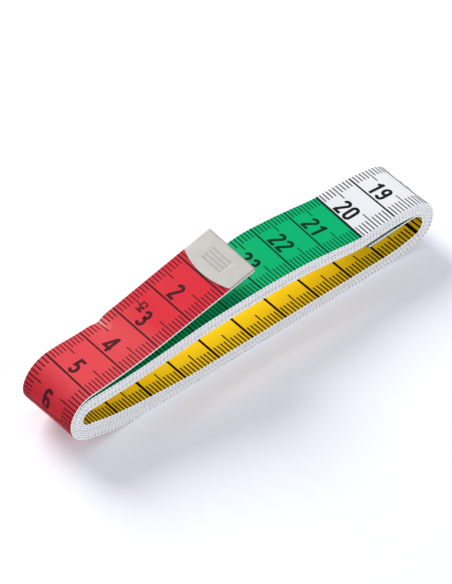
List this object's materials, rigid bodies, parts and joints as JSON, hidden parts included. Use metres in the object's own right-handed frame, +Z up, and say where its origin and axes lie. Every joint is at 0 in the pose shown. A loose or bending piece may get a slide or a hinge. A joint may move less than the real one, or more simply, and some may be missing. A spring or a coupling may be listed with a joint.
{
  "type": "tailor's tape measure",
  "caption": "Flexible printed tape wound into a flat oblong coil, with its free end lifted and a folded metal clip on each end, for measuring cloth and bodies.",
  "frame": {"origin": "middle of the footprint on the table, under the coil", "axes": "+X along the coil, away from the bend where the free end leaves it; +Y across the tape; +Z up"},
  "size_m": [0.1086, 0.016, 0.0258],
  "materials": {
    "printed_pvc": "semi-gloss PVC printed in 10 cm bands of red, white and green",
    "red_pvc": "semi-gloss red PVC with a printed black scale",
    "yellow_pvc": "semi-gloss yellow PVC with a printed black scale",
    "glass_fibre": "woven glass fibre, white at the cut edge",
    "clip_metal": "nickel-plated sheet, satin"
  },
  "bodies": {
    "coil": {"coil_front_coat": "printed_pvc", "coil_glass_core": "glass_fibre", "coil_back_coat": "yellow_pvc"},
    "free_end_1": {"free_end_1_front_coat": "red_pvc", "free_end_1_glass_core": "glass_fibre", "free_end_1_back_coat": "yellow_pvc"},
    "free_end_2": {"free_end_2_front_coat": "red_pvc", "free_end_2_glass_core": "glass_fibre", "free_end_2_back_coat": "yellow_pvc"},
    "free_end_3": {"free_end_3_front_coat": "red_pvc", "free_end_3_glass_core": "glass_fibre", "free_end_3_back_coat": "yellow_pvc"},
    "free_end_4": {"free_end_4_front_coat": "red_pvc", "free_end_4_glass_core": "glass_fibre", "free_end_4_back_coat": "yellow_pvc", "outer_end_clip": "clip_metal"},
    "inner_end": {"inner_end_front_coat": "printed_pvc", "inner_end_glass_core": "glass_fibre", "inner_end_back_coat": "yellow_pvc", "inner_end_clip": "clip_metal"}
  },
  "joints": [
    {"name": "free_end_lift_1", "type": "hinge", "parent": "coil", "child": "free_end_1", "pos_m": [-0.04586, 0, 0.01635], "axis": [0, -1, 0], "range_deg": [-2.8, 20], "stiffness_Nm_per_rad": 0.005, "springref_deg": 3.03},
    {"name": "free_end_lift_2", "type": "hinge", "parent": "free_end_1", "child": "free_end_2", "pos_m": [-0.03593, 0, 0.01749], "axis": [0, -1, 0], "range_deg": [-2.8, 20], "stiffness_Nm_per_rad": 0.005, "springref_deg": 2.27},
    {"name": "free_end_lift_3", "type": "hinge", "parent": "free_end_2", "child": "free_end_3", "pos_m": [-0.02612, 0, 0.01939], "axis": [0, -1, 0], "range_deg": [-2.8, 20], "stiffness_Nm_per_rad": 0.005, "springref_deg": 1.55},
    {"name": "free_end_lift_4", "type": "hinge", "parent": "free_end_3", "child": "free_end_4", "pos_m": [-0.01638, 0, 0.02168], "axis": [0, -1, 0], "range_deg": [-2.8, 20], "stiffness_Nm_per_rad": 0.005, "springref_deg": 0.87},
    {"name": "inner_end_flex", "type": "hinge", "parent": "coil", "child": "inner_end", "pos_m": [0.04752, 0, 0.0101], "axis": [0, -1, 0], "range_deg": [-2, 15], "stiffness_Nm_per_rad": 0.02, "springref_deg": -0.15}
  ],
  "couplings": [
    {"joint": "free_end_lift_2", "follows": "free_end_lift_1", "ratio": 1},
    {"joint": "free_end_lift_3", "follows": "free_end_lift_1", "ratio": 1},
    {"joint": "free_end_lift_4", "follows": "free_end_lift_1", "ratio": 1}
  ]
}
